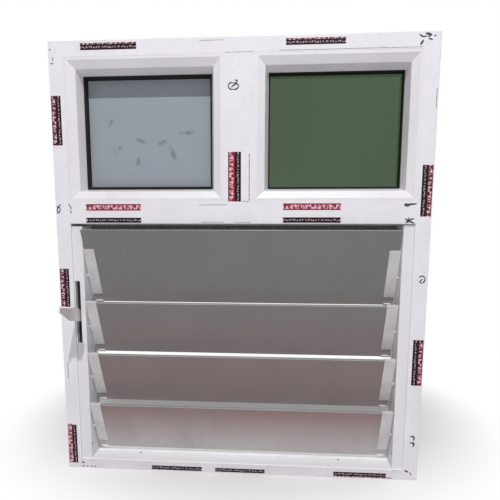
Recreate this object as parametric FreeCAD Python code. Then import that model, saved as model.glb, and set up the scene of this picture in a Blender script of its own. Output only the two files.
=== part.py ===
import FreeCAD, Part
import math
import os

os.makedirs("parts", exist_ok=True)

# Overall sizes of the window
frame_width = 930.0
frame_height = 1089.0
frame_depth = 78.0

# Frame profile
frame_face = 37.0
sill_face = 28.0
edge_round = 2.0
joint_round = 0.6
leg_reach = 26.0
leg_bevel = 4.0
groove_width = 7.0
groove_depth = 3.0
groove_inset = 11.0
upstand_height = 5.0
upstand_depth = 6.0
sill_fall = 6.0

# Transom and mullion between the openings
transom_face = 56.0
mullion_face = 75.0
joint_gap = 0.8
joint_depth = 3.0

# Glazing of the two upper lights
bead_flat = 7.0
bead_slope = 18.0
bead_slope_depth = 10.0
bead_splay = 7.8
bead_depth = 39.0
bead_round = 2.5
bead_relief = 8.0
gasket_lip = 4.5
gasket_cover = 12.0
gasket_thick = 17.0
outer_gasket_lip = 2.0
outer_gasket_thick = 3.0
gasket_round = 0.9
glass_thick = 5.0
glass_edge_gap = 8.0

# Louvre channels on the two stiles
channel_width = 27.0
channel_recess = 5.0
channel_depth = 49.0
channel_wall = 2.0
channel_round = 1.5
left_channel_top_gap = 6.0
right_channel_top_gap = 1.5
slot_width = 13.0
slot_inset = 2.0
slot_round = 2.0
slot_above_lever = 90.0
slot_below_lever = 72.0

# Louvre blades and their clips
blade_count = 4
blade_pitch = 137.0
blade_length = 150.0
top_blade_extra = 50.0
clip_gap = 5.0
clip_sheet = 1.5
clip_reach = 27.0
clip_front_part = 0.85
clip_lip = 5.0
clip_lip_inset = 6.0
clip_round = 4.0
clip_edge_round = 2.0
sill_to_pivot = 84.0
pivot_behind_face = 27.0
pivot_to_transom = 131.5

# Tilt of the blades from upright, in degrees
rest_tilt = 22.0
closed_tilt = 8.0
open_tilt = 88.0

# Pins, cranks and link bar
pivot_radius = 4.0
pivot_play = 0.3
rivet_radius = 6.0
rivet_thick = 2.0
boss_radius = 7.0
boss_thick = 1.5
crank_radius = 14.0
crank_sheet = 3.0
crank_round = 4.5
crank_from_web = 3.0
crank_pin_radius = 2.5
crank_pin_play = 0.2
link_width = 10.0
link_sheet = 3.0
link_round = 2.0
link_from_web = 7.5
pin_end = 1.0

# Lever
lever_above_pivot = 33.0
lever_sheet = 3.0
lever_length = 129.0
lever_root_half = 14.0
lever_crown = 13.0
lever_belly = 19.0
lever_belly_start = 18.0
lever_belly_end = 78.0
lever_belly_round = 50.0
lever_tip_height = 14.0
lever_round = 3.0
lever_tilt = 10.5
thumb_length = 36.0
thumb_width = 34.0
thumb_sheet = 3.0
thumb_round = 8.0

# Derived levels and planes
half_width = frame_width / 2
front = -frame_depth / 2
back = frame_depth / 2
pivot_y = front + pivot_behind_face
lowest_pivot = sill_face + sill_to_pivot
top_pivot = lowest_pivot + (blade_count - 1) * blade_pitch
transom_bottom = top_pivot + pivot_to_transom
transom_top = transom_bottom + transom_face
head_bottom = frame_height - frame_face
opening_half = half_width - frame_face
mullion_half = mullion_face / 2
leg_line = frame_face + leg_reach
glass_front = front + bead_depth + gasket_thick
glass_back = glass_front + glass_thick
rebate = glass_back + outer_gasket_thick
channel_front = front + channel_recess
channel_back = channel_front + channel_depth
bead_width = bead_flat + bead_slope + bead_splay


def outline(corners, place):
    """Closed wire through corners (a, b, radius), each one rounded to its radius."""
    arcs = []
    count = len(corners)
    for i in range(count):
        a, b, radius = corners[i]
        corner = FreeCAD.Vector(a, b, 0)
        if radius == 0:
            arcs.append((corner, None, corner))
            continue
        to_last = (FreeCAD.Vector(corners[i - 1][0], corners[i - 1][1], 0) - corner).normalize()
        after = corners[(i + 1) % count]
        to_next = (FreeCAD.Vector(after[0], after[1], 0) - corner).normalize()
        half = to_last.getAngle(to_next) / 2
        middle = (to_last + to_next).normalize()
        first = corner + to_last * (radius / math.tan(half))
        last = corner + to_next * (radius / math.tan(half))
        crown = corner + middle * (radius / math.sin(half) - radius)
        arcs.append((first, crown, last))
    edges = []
    for i in range(count):
        first, crown, last = arcs[i]
        if crown is not None:
            edges.append(Part.Arc(place(first.x, first.y), place(crown.x, crown.y),
                                  place(last.x, last.y)).toShape())
        start = arcs[(i + 1) % count][0]
        if last.distanceToPoint(start) > 1e-6:
            edges.append(Part.makeLine(place(last.x, last.y), place(start.x, start.y)))
    return Part.Wire(Part.__sortEdges__(edges))


def along_x(corners, x0, x1):
    """Profile with corners (y, z, radius), run from x0 to x1."""
    wire = outline(corners, lambda a, b: FreeCAD.Vector(x0, a, b))
    return Part.Face(wire).extrude(FreeCAD.Vector(x1 - x0, 0, 0))


def along_y(corners, y0, y1):
    """Profile with corners (x, z, radius), run from y0 to y1."""
    wire = outline(corners, lambda a, b: FreeCAD.Vector(a, y0, b))
    return Part.Face(wire).extrude(FreeCAD.Vector(0, y1 - y0, 0))


def along_z(corners, z0, z1):
    """Profile with corners (x, y, radius), run from z0 to z1."""
    wire = outline(corners, lambda a, b: FreeCAD.Vector(a, b, z0))
    return Part.Face(wire).extrude(FreeCAD.Vector(0, 0, z1 - z0))


def block(x0, x1, y0, y1, z0, z1):
    """Plain block between its six limits."""
    return Part.makeBox(x1 - x0, y1 - y0, z1 - z0, FreeCAD.Vector(x0, y0, z0))


def rod(x0, x1, y, z, radius):
    """Round rod along the width of the window."""
    return Part.makeCylinder(radius, x1 - x0, FreeCAD.Vector(x0, y, z), FreeCAD.Vector(1, 0, 0))


def mirrored(shape):
    """The same piece on the other side of the window."""
    return shape.mirror(FreeCAD.Vector(0, 0, 0), FreeCAD.Vector(1, 0, 0))


def tilted(shape, z, degrees):
    """Piece turned about the pivot line at height z."""
    turned = shape.copy()
    turned.rotate(FreeCAD.Vector(0, pivot_y, z), FreeCAD.Vector(1, 0, 0), degrees)
    return turned


def save(name, shape):
    """Write one piece under its own name."""
    shape.removeSplitter().exportStep("parts/" + name + ".step")


def wall_side():
    """Outer side of the frame profile, (inward, depth, radius), with its two fixing grooves."""
    corners = [(0, back, edge_round)]
    for start in (back - groove_inset, front + groove_inset + groove_width):
        corners += [(0, start, 0), (groove_depth, start, 0)]
        corners += [(groove_depth, start - groove_width, 0), (0, start - groove_width, 0)]
    return corners + [(0, front, edge_round)]


def rebated_profile():
    """Frame profile, (inward, depth, radius), with the outer leg that takes the glass."""
    return wall_side() + [
        (frame_face, front, joint_round),
        (frame_face, rebate, 0),
        (leg_line, rebate, 0),
        (leg_line, back - leg_bevel, 0),
        (leg_line - leg_bevel, back, 0),
    ]


# Head, mitred at both ends
head_profile = [(depth, frame_height - inward, r) for inward, depth, r in rebated_profile()]
head_mitre = [
    (-half_width, frame_height, 0),
    (half_width, frame_height, 0),
    (half_width - leg_line, frame_height - leg_line, 0),
    (-half_width + leg_line, frame_height - leg_line, 0),
]
head = along_x(head_profile, -half_width, half_width).common(along_y(head_mitre, front, back))
save("frame_head", head)

# Sill, flat under the channels, with a low upstand and a fall to the outside
sill_profile = [(depth, inward, r) for inward, depth, r in wall_side()] + [
    (front, sill_face, edge_round),
    (channel_back, sill_face, 0),
    (channel_back, sill_face + upstand_height, joint_round),
    (channel_back + upstand_depth, sill_face + upstand_height, joint_round),
    (back, sill_face - sill_fall, 0),
]
sill_mitre = [
    (-half_width, 0, 0),
    (-opening_half, sill_face, 0),
    (-opening_half, sill_face + upstand_height, 0),
    (opening_half, sill_face + upstand_height, 0),
    (opening_half, sill_face, 0),
    (half_width, 0, 0),
]
sill = along_x(sill_profile, -half_width, half_width).common(along_y(sill_mitre, front, back))
save("frame_sill", sill)

# Stiles, mitred to the head and sill
stile_profile = [(-half_width + inward, depth, r) for inward, depth, r in rebated_profile()]
stile_mitre = [
    (-half_width, 0, 0),
    (-opening_half, sill_face, 0),
    (-opening_half, sill_face - sill_fall, 0),
    (-half_width + leg_line, sill_face - sill_fall, 0),
    (-half_width + leg_line, frame_height - leg_line, 0),
    (-half_width, frame_height, 0),
]
stile = along_z(stile_profile, 0, frame_height).common(along_y(stile_mitre, front, back)).cut(sill)
save("frame_left_stile", stile)
save("frame_right_stile", mirrored(stile))

# Transom over the louvres, with an outer leg up for the glass and one down as a weather stop
transom_profile = [
    (front, transom_bottom, edge_round),
    (front, transom_top, joint_round),
    (rebate, transom_top, 0),
    (rebate, transom_top + leg_reach, 0),
    (back - leg_bevel, transom_top + leg_reach, 0),
    (back, transom_top + leg_reach - leg_bevel, 0),
    (back, transom_bottom - leg_reach + leg_bevel, 0),
    (back - leg_bevel, transom_bottom - leg_reach, 0),
    (rebate, transom_bottom - leg_reach, 0),
    (rebate, transom_bottom, 0),
]
transom = along_x(transom_profile, -opening_half, opening_half).cut(stile).cut(mirrored(stile))
for x0 in (-opening_half, opening_half - joint_gap):
    groove = block(x0, x0 + joint_gap, front, front + joint_depth, transom_bottom, transom_top)
    transom = transom.cut(groove)
save("transom", transom)

# Mullion between the two upper lights
mullion_profile = [
    (-mullion_half, front, joint_round),
    (mullion_half, front, joint_round),
    (mullion_half, rebate, 0),
    (mullion_half + leg_reach, rebate, 0),
    (mullion_half + leg_reach, back - leg_bevel, 0),
    (mullion_half + leg_reach - leg_bevel, back, 0),
    (-mullion_half - leg_reach + leg_bevel, back, 0),
    (-mullion_half - leg_reach, back - leg_bevel, 0),
    (-mullion_half - leg_reach, rebate, 0),
    (-mullion_half, rebate, 0),
]
mullion = along_z(mullion_profile, transom_top, head_bottom).cut(head).cut(transom)
for z0 in (transom_top, head_bottom - joint_gap):
    groove = block(-mullion_half, mullion_half, front, front + joint_depth, z0, z0 + joint_gap)
    mullion = mullion.cut(groove)
save("mullion", mullion)

# Upper light on the left: beads, gaskets and pane
light_left = -opening_half
light_right = -mullion_half


def bead_section(edge, inward):
    """Bead corners (across, depth, radius) from the rebate face at edge."""
    return [
        (edge, front, joint_round),
        (edge + inward * bead_flat, front, bead_round),
        (edge + inward * (bead_flat + bead_slope), front + bead_slope_depth, bead_round),
        (edge + inward * bead_width, front + bead_depth, 0),
        (edge + inward * (bead_width - gasket_cover), front + bead_depth, 0),
        (edge + inward * bead_relief, front + bead_depth - bead_relief, 0),
        (edge + inward * bead_relief, rebate - joint_round, 0),
        (edge, rebate - joint_round, 0),
    ]


def mitre(corners):
    """Prism over a bead's four corners (x, z), cut square through the depth."""
    return along_y([(x, z, 0) for x, z in corners], front, back)


x_in0 = light_left + bead_width
x_in1 = light_right - bead_width
z_in0 = transom_top + bead_width
z_in1 = head_bottom - bead_width
left_mitre = [(light_left, transom_top), (x_in0, z_in0), (x_in0, z_in1), (light_left, head_bottom)]
right_mitre = [(light_right, transom_top), (light_right, head_bottom), (x_in1, z_in1), (x_in1, z_in0)]
top_mitre = [(light_left, head_bottom), (x_in0, z_in1), (x_in1, z_in1), (light_right, head_bottom)]
bottom_mitre = [(light_left, transom_top), (light_right, transom_top), (x_in1, z_in0), (x_in0, z_in0)]
top_section = [(depth, z, r) for z, depth, r in bead_section(head_bottom, -1)]
bottom_section = [(depth, z, r) for z, depth, r in bead_section(transom_top, 1)]
left_run = along_z(bead_section(light_left, 1), transom_top, head_bottom)
right_run = along_z(bead_section(light_right, -1), transom_top, head_bottom)
top_run = along_x(top_section, light_left, light_right)
bottom_run = along_x(bottom_section, light_left, light_right)


def ring(outer, inner, y0, y1, lip_round):
    """Rectangular ring set in from the light's edge by outer and open inside inner."""
    x0 = light_left + inner
    x1 = light_right - inner
    z0 = transom_top + inner
    z1 = head_bottom - inner
    hole = [(x0, z0, lip_round), (x1, z0, lip_round), (x1, z1, lip_round), (x0, z1, lip_round)]
    solid = block(light_left + outer, light_right - outer, y0, y1, transom_top + outer, head_bottom - outer)
    return solid.cut(along_y(hole, y0, y1))


pane = block(light_left + glass_edge_gap, light_right - glass_edge_gap, glass_front, glass_back,
             transom_top + glass_edge_gap, head_bottom - glass_edge_gap)
light_pieces = {
    "bead_left": left_run.common(mitre(left_mitre)),
    "bead_right": right_run.common(mitre(right_mitre)),
    "bead_top": top_run.common(mitre(top_mitre)),
    "bead_bottom": bottom_run.common(mitre(bottom_mitre)),
    "pane": pane,
    "gasket": ring(bead_width - gasket_cover, bead_width + gasket_lip, glass_front - gasket_thick,
                   glass_front, gasket_round),
    "outer_gasket": ring(leg_reach - gasket_cover, leg_reach + outer_gasket_lip, glass_back, rebate,
                         gasket_round),
}
other_side = {"bead_left": "bead_right", "bead_right": "bead_left"}
for name, shape in light_pieces.items():
    save("left_light_" + name, shape)
    save("right_light_" + other_side.get(name, name), mirrored(shape))

# Louvre channel, a box section with pivot holes in the side that faces the blades
channel_x0 = -opening_half
channel_x1 = channel_x0 + channel_width
web_inside = channel_x1 - channel_wall
tube_profile = [
    (channel_x0, channel_front, 0),
    (channel_x1, channel_front, channel_round),
    (channel_x1, channel_back, 0),
    (channel_x0, channel_back, 0),
]
pivots = [top_pivot - k * blade_pitch for k in range(blade_count)]


def channel(top):
    """Louvre channel on the left stile, up to the height top."""
    hollow = block(channel_x0 + channel_wall, web_inside, channel_front + channel_wall,
                   channel_back - channel_wall, sill_face, top)
    tube = along_z(tube_profile, sill_face, top).cut(hollow)
    for z in pivots:
        tube = tube.cut(rod(web_inside, channel_x1, pivot_y, z, pivot_radius + pivot_play))
    return tube


save("right_louvre_channel", mirrored(channel(transom_bottom - right_channel_top_gap)))

# Left channel, with the lever's slot and the holes for its pin
lever_z = pivots[1] + lever_above_pivot
slot_x0 = channel_x0 + slot_inset
slot_x1 = slot_x0 + slot_width
slot_corners = [
    (slot_x0, lever_z - slot_below_lever, slot_round),
    (slot_x1, lever_z - slot_below_lever, slot_round),
    (slot_x1, lever_z + slot_above_lever, slot_round),
    (slot_x0, lever_z + slot_above_lever, slot_round),
]
left_channel = channel(transom_bottom - left_channel_top_gap)
left_channel = left_channel.cut(along_y(slot_corners, channel_front, channel_front + channel_wall))
left_channel = left_channel.cut(rod(channel_x0, channel_x1, pivot_y, lever_z, pivot_radius + pivot_play))
save("left_louvre_channel", left_channel)

# Clips: a folded channel on each end of a blade, with its pivot pin
web_x0 = channel_x1 + clip_gap
web_x1 = web_x0 + clip_sheet
flange_x1 = web_x0 + clip_reach
half_glass = glass_thick / 2
half_clip = half_glass + clip_sheet
half_length = blade_length / 2
front_end = half_length - clip_front_part * blade_length
crank_x1 = web_inside - crank_from_web
crank_x0 = crank_x1 - crank_sheet
link_x1 = web_inside - link_from_web
link_x0 = link_x1 - link_sheet
crank_angle = math.radians(rest_tilt - (closed_tilt + open_tilt) / 2)
crank_y = pivot_y + crank_radius * math.cos(crank_angle)
crank_drop = crank_radius * math.sin(crank_angle)


def clip(z, capped):
    """Clip on the left end of the blade that turns at height z, with a cap where the glass ends level."""
    top = z + half_length
    low = z - half_length
    y0 = pivot_y - half_clip
    y1 = pivot_y + half_clip
    foot = low - clip_sheet
    web = along_x([(y0, foot, 0), (y1, foot, 0), (y1, top, clip_edge_round), (y0, top, clip_edge_round)],
                  web_x0, web_x1)
    rear = along_y([(web_x0, foot, 0), (flange_x1, foot, clip_edge_round),
                    (flange_x1, top, clip_edge_round), (web_x0, top, clip_round)], pivot_y + half_glass, y1)
    face = along_y([(web_x0, z + front_end, 0), (flange_x1, z + front_end, clip_edge_round),
                    (flange_x1, top, clip_edge_round), (web_x0, top, clip_round)], y0, pivot_y - half_glass)
    stop = block(web_x0, flange_x1 - clip_edge_round, y0, y1, foot, low)
    lip = along_y([(web_x0 + clip_lip_inset, foot, 0), (flange_x1 - clip_edge_round, foot, 0),
                   (flange_x1 - clip_edge_round, low + clip_lip, clip_edge_round),
                   (web_x0 + clip_lip_inset, low + clip_lip, clip_edge_round)], y0, pivot_y - half_glass)
    boss = rod(web_x0 - boss_thick, web_x0, pivot_y, z, boss_radius)
    folded = web.fuse([rear, face, stop, lip, boss])
    if capped:
        shoulder = top - clip_edge_round
        crown = top + clip_sheet
        cap = along_x([(y0, shoulder, 0), (y1, shoulder, 0), (y1, crown, 0), (y0, crown, clip_sheet / 2)],
                      web_x0, flange_x1)
        gap = block(web_x1, flange_x1, pivot_y - half_glass, pivot_y + half_glass, low, top)
        folded = folded.fuse(cap.cut(gap))
    return tilted(folded, z, rest_tilt)


def crank(z, x0, x1):
    """Crank plate from the pivot line at height z to the link bar's pin."""
    hub = FreeCAD.Vector(x0, pivot_y, z)
    arm = FreeCAD.Vector(0, crank_y - pivot_y, crank_drop)
    side = FreeCAD.Vector(0, -crank_drop, crank_y - pivot_y).normalize() * crank_round
    outer = [hub - side, hub + arm - side, hub + arm + side, hub + side, hub - side]
    plate = Part.Face(Part.makePolygon(outer)).extrude(FreeCAD.Vector(x1 - x0, 0, 0))
    near_end = rod(x0, x1, pivot_y, z, crank_round)
    far_end = rod(x0, x1, crank_y, z + crank_drop, crank_round)
    return plate.fuse([near_end, far_end])


for k, z in enumerate(pivots):
    extra = top_blade_extra if k == 0 else 0.0
    plain = clip(z, extra == 0)
    short_pin = rod(crank_x1, web_x0, pivot_y, z, pivot_radius)
    rivet = rod(crank_x1 - rivet_thick, crank_x1, pivot_y, z, rivet_radius)
    save("clip_right_%d" % (k + 1), mirrored(plain.fuse([short_pin, rivet])))
    link_pin = rod(link_x0 - pin_end, crank_x0, crank_y, z + crank_drop, crank_pin_radius)
    save("clip_left_%d" % (k + 1), plain.fuse([short_pin, crank(z, crank_x0, crank_x1), link_pin]))
    glass = block(web_x1, -web_x1, pivot_y - half_glass, pivot_y + half_glass, z - half_length,
                  z + half_length + extra)
    save("blade_%d" % (k + 1), tilted(glass, z, rest_tilt))

# Link bar that ties the four cranks to the lever
link_y0 = crank_y - link_width / 2
link_y1 = crank_y + link_width / 2
link_z0 = pivots[-1] + crank_drop - link_width
link_z1 = pivots[0] + crank_drop + link_width
link = along_x([(link_y0, link_z0, link_round), (link_y1, link_z0, link_round),
                (link_y1, link_z1, link_round), (link_y0, link_z1, link_round)], link_x0, link_x1)
for z in pivots + [lever_z]:
    link = link.cut(rod(link_x0, link_x1, crank_y, z + crank_drop, crank_pin_radius + crank_pin_play))
save("link_bar", link)

# Lever, a tapered plate with a belly, its thumb tab folded to the right at the tip
lever_x0 = slot_x0 + (slot_width - lever_sheet) / 2
lever_x1 = lever_x0 + lever_sheet
tip_y = pivot_y - lever_length
arm_corners = [
    (pivot_y + lever_root_half, lever_z - lever_root_half, lever_round),
    (pivot_y + lever_root_half, lever_z + lever_crown, lever_round),
    (tip_y, lever_z + lever_crown, lever_round),
    (tip_y, lever_z + lever_crown - lever_tip_height, lever_round),
    (pivot_y - lever_belly_end, lever_z - lever_belly, lever_belly_round),
    (pivot_y - lever_belly_start, lever_z - lever_belly, lever_round),
]
arm = along_x(arm_corners, lever_x0, lever_x1)
thumb_top = lever_z + lever_crown
thumb_x1 = lever_x0 + thumb_width
thumb_y1 = tip_y + thumb_length
thumb = along_z([(lever_x0, tip_y, 0), (thumb_x1, tip_y, thumb_round), (thumb_x1, thumb_y1, thumb_round),
                 (lever_x0, thumb_y1, 0)], thumb_top - thumb_sheet, thumb_top)
lever = tilted(arm.fuse(thumb), lever_z, -lever_tilt)
lever_pin = rod(channel_x0, channel_x1, pivot_y, lever_z, pivot_radius)
lever_link_pin = rod(lever_x1, link_x1 + pin_end, crank_y, lever_z + crank_drop, crank_pin_radius)
save("lever", lever.fuse([lever_pin, crank(lever_z, lever_x0, lever_x1), lever_link_pin]))
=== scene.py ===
# %% [markdown]
# # A louvre window, dressed for its picture
# The solids of this window come from CAD and stay exactly as they are. This lesson gives them
# finishes and adds what is too thin or too small for CAD: the protective film with its printed
# bands and pen ticks, rounded rubber gaskets, ground glass edges, rolled lips, a pile strip and
# screws.

# %% Load the fixed frame
import math
import bpy
import numpy as np
from mathutils import Euler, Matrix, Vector


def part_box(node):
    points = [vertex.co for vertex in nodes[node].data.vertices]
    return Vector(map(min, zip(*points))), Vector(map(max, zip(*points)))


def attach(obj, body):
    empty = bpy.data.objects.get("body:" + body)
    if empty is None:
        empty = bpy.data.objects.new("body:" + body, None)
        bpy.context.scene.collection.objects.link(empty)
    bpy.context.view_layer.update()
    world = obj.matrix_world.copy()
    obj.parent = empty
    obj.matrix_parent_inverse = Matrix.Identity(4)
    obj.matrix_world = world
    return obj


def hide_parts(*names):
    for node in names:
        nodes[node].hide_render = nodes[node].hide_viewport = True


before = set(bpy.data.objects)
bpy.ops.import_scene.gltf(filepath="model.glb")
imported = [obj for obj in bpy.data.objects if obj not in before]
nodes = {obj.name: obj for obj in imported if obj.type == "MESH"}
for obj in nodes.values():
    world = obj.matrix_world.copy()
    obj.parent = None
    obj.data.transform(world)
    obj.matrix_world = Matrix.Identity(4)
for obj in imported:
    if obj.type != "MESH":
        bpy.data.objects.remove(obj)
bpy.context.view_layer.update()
MM = 0.001

# %% [markdown]
# Every later step needs the window's main planes. They could be typed in again, but reading them
# from the boxes of the CAD pieces keeps film, gaskets and screws in place if a size changes.

# %% Main planes of the window
channel_gap = 1.5 * MM
face_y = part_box("frame_head")[0][1]
outer_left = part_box("frame_left_stile")[0][0]
outer_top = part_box("frame_head")[1][2]
open_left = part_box("left_louvre_channel")[0][0]
open_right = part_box("right_louvre_channel")[1][0]
sill_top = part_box("left_louvre_channel")[0][2]
transom_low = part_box("right_louvre_channel")[1][2] + channel_gap
transom_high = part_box("mullion")[0][2]
head_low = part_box("mullion")[1][2]
mullion_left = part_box("left_light_bead_right")[1][0]
mullion_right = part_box("right_light_bead_left")[0][0]
print("face plane y = %.4f, opening %.3f wide" % (face_y, open_right - open_left))

# %% [markdown]
# The photograph was taken by hand, a little above the middle of the window and to its right, with
# the lens close enough for strong perspective. Place, turn, lens and the small upward shift were
# worked out from the window's corners and edges.

# %% Camera at the photograph's angle
camera_place = (0.1089, face_y - 1.1452, 0.5976)
camera_turn = (82.215, -0.274, 4.018)
camera_data = bpy.data.cameras.new("photo_camera")
camera_data.lens = 32.95
camera_data.sensor_width = 36.0
camera_data.shift_y = 0.12
camera = bpy.data.objects.new("photo_camera", camera_data)
camera.location = camera_place
camera.rotation_euler = Euler([math.radians(degrees) for degrees in camera_turn])
bpy.context.scene.collection.objects.link(camera)
bpy.context.scene.camera = camera
bpy.context.scene.view_settings.view_transform = "Standard"
print("camera %.2f m in front of the face" % (face_y - camera.location.y))

# %% [markdown]
# A surface that is worked out as whole arrays needs few helpers: one turns grids of points into one
# mesh, with points on one spot joined and every face looking outward, and one gives that mesh its
# finish and its body.

# %% Helpers that turn grids of points into a piece
room = (0, -1, 0)


def grid_faces(rows, columns, wrap_rows=False, wrap_columns=False):
    """Quads over a grid of rows by columns points: each joins (i, j) to its next row and column."""
    i = np.arange(rows if wrap_rows else rows - 1)[:, None]
    j = np.arange(columns if wrap_columns else columns - 1)[None, :]
    next_i = (i + 1) % rows
    next_j = (j + 1) % columns
    quads = [i * columns + j, next_i * columns + j, next_i * columns + next_j, i * columns + next_j]
    return np.stack(quads, axis=-1).reshape(-1, 4)


def inward(points, quads, facing):
    """True for a sheet that looks away from facing, or for a closed shape that is inside out.

    A closed shape is inside out when its volume, the sum of (a x b) . c over its triangles, is negative.
    """
    a, b, c, d = (points[quads[:, k]] - points.mean(axis=0) for k in range(4))
    if facing is not None:
        return np.cross(c - a, d - b).sum(axis=0) @ np.array(facing) < 0
    return (np.cross(a, b) * c).sum() + (np.cross(a, c) * d).sum() < 0


def joined(points, quads):
    """Points with one number for each spot, and the faces without corners that fell together."""
    _, first, spot = np.unique(points.round(7), axis=0, return_index=True, return_inverse=True)
    rank = np.argsort(np.argsort(first))
    corners = [list(dict.fromkeys(face)) for face in rank[spot.reshape(-1)][quads].tolist()]
    return points[np.sort(first)], [face for face in corners if len(face) > 2]


def piece_from_grids(name, grids, uvs=None, wrap_rows=False, wrap_columns=False, smooth=True, facing=None):
    """One mesh object from grids of shape (rows, columns, 3); uvs gives a flat place for each point."""
    points, quads, start = [], [], 0
    for grid in grids:
        rows, columns = grid.shape[:2]
        own = grid_faces(rows, columns, wrap_rows, wrap_columns)
        if inward(grid.reshape(-1, 3), own, facing):
            own = own[:, ::-1]
        points.append(grid.reshape(-1, 3))
        quads.append(own + start)
        start += rows * columns
    points, quads = np.concatenate(points), np.concatenate(quads)
    mesh = bpy.data.meshes.new(name)
    if uvs is None:
        points, faces = joined(points, quads)
        mesh.from_pydata(points.tolist(), [], faces)
    else:
        mesh.from_pydata(points.tolist(), [], quads.tolist())
        flat = np.concatenate([uv.reshape(-1, 2) for uv in uvs])[quads.reshape(-1)]
        mesh.uv_layers.new(name="flat").data.foreach_set("uv", flat.astype(np.float32).reshape(-1))
    mesh.polygons.foreach_set("use_smooth", np.full(len(mesh.polygons), smooth))
    mesh.update()
    piece = bpy.data.objects.new(name, mesh)
    bpy.context.scene.collection.objects.link(piece)
    return piece


def settle(piece, material, body):
    """Give a piece its finish and the CAD body that it moves with."""
    piece.data.materials.append(material)
    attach(piece, body)
    print(piece.name, len(piece.data.polygons), "faces on", body)


print("a grid of 3 by 4 points has", len(grid_faces(3, 4)), "faces")

# %% [markdown]
# Finishes are node trees. Small helpers keep them readable. The first ones read the surface: its
# coordinates, their three axes, a distance, and a soft noise.

# %% Helpers that read the surface
def new_finish(name, roughness, **sockets):
    """A material with one Principled shader; sockets sets values that are the same all over."""
    material = bpy.data.materials.new(name)
    material.use_nodes = True
    tree = material.node_tree
    shader = tree.nodes["Principled BSDF"]
    shader.inputs["Roughness"].default_value = roughness
    for socket, value in sockets.items():
        shader.inputs[socket.replace("_", " ")].default_value = value
    return material, tree, shader


def placed(tree, stretch=(1, 1, 1), source="Object", shift=(0, 0, 0)):
    """Coordinates of the surface, stretched along each axis and moved by shift."""
    coordinate = tree.nodes.new("ShaderNodeTexCoord")
    mapping = tree.nodes.new("ShaderNodeMapping")
    mapping.inputs["Scale"].default_value = stretch
    mapping.inputs["Location"].default_value = shift
    tree.links.new(coordinate.outputs[source], mapping.inputs["Vector"])
    return mapping.outputs["Vector"]


def axes_of(tree, source="Object"):
    """The surface's coordinates as three fields: x, y and z."""
    node = tree.nodes.new("ShaderNodeSeparateXYZ")
    tree.links.new(placed(tree, source=source), node.inputs[0])
    return node.outputs


def length_of(tree, vector):
    """Distance of a coordinate from its origin."""
    node = tree.nodes.new("ShaderNodeVectorMath")
    node.operation = "LENGTH"
    tree.links.new(vector, node.inputs[0])
    return node.outputs["Value"]


def noise(tree, vector, scale, detail=4.0, rough=0.55):
    """Soft random field, from 0 to 1, with features of about 1 / scale metres."""
    texture = tree.nodes.new("ShaderNodeTexNoise")
    texture.inputs["Scale"].default_value = scale
    texture.inputs["Detail"].default_value = detail
    texture.inputs["Roughness"].default_value = rough
    tree.links.new(vector, texture.inputs["Vector"])
    return texture.outputs["Fac"]


print("helpers that read the surface are ready")

# %% [markdown]
# The other helpers turn what was read into a look: a field stretched to a range, arithmetic on
# fields, a blend of two colours by a factor, that blend as the base colour, and a bump from a height.

# %% Helpers that make the look
def spread(tree, value, low, high, to_low=0.0, to_high=1.0):
    """Stretch the part of a field between low and high to the range to_low to to_high."""
    node = tree.nodes.new("ShaderNodeMapRange")
    node.interpolation_type = "SMOOTHSTEP"
    for socket, number in zip(("From Min", "From Max", "To Min", "To Max"), (low, high, to_low, to_high)):
        node.inputs[socket].default_value = number
    tree.links.new(value, node.inputs["Value"])
    return node.outputs["Result"]


def feed(tree, value, socket):
    """Link an output, or set a plain number or colour, on a socket."""
    if isinstance(value, bpy.types.NodeSocket):
        tree.links.new(value, socket)
    elif isinstance(value, (tuple, list)) and socket.type == "RGBA":
        socket.default_value = (*value, 1.0)
    else:
        socket.default_value = value


def math_node(tree, operation, first, second=0.0):
    """One arithmetic step on two fields or numbers."""
    node = tree.nodes.new("ShaderNodeMath")
    node.operation = operation
    feed(tree, first, node.inputs[0])
    feed(tree, second, node.inputs[1])
    return node.outputs[0]


def blend(tree, factor, low, high):
    """Colour that goes from low to high as factor goes from 0 to 1."""
    node = tree.nodes.new("ShaderNodeMix")
    node.data_type = "RGBA"
    feed(tree, factor, node.inputs["Factor"])
    feed(tree, low, node.inputs["A"])
    feed(tree, high, node.inputs["B"])
    return node.outputs["Result"]


def paint(tree, shader, factor, low, high):
    """Base colour of a finish, which goes from low to high as factor goes from 0 to 1."""
    tree.links.new(blend(tree, factor, low, high), shader.inputs["Base Color"])


def emboss(tree, shader, height, strength, distance):
    """Small relief of the given distance in metres, from a height field."""
    node = tree.nodes.new("ShaderNodeBump")
    node.inputs["Strength"].default_value = strength
    node.inputs["Distance"].default_value = distance
    tree.links.new(height, node.inputs["Height"])
    tree.links.new(node.outputs["Normal"], shader.inputs["Normal"])


def dress(finish, *names):
    """Put a finish on CAD nodes."""
    for name in names:
        nodes[name].data.materials.clear()
        nodes[name].data.materials.append(finish)
    print(finish.name, "on", len(names), "nodes")


print("helpers that make the look are ready")
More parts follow.
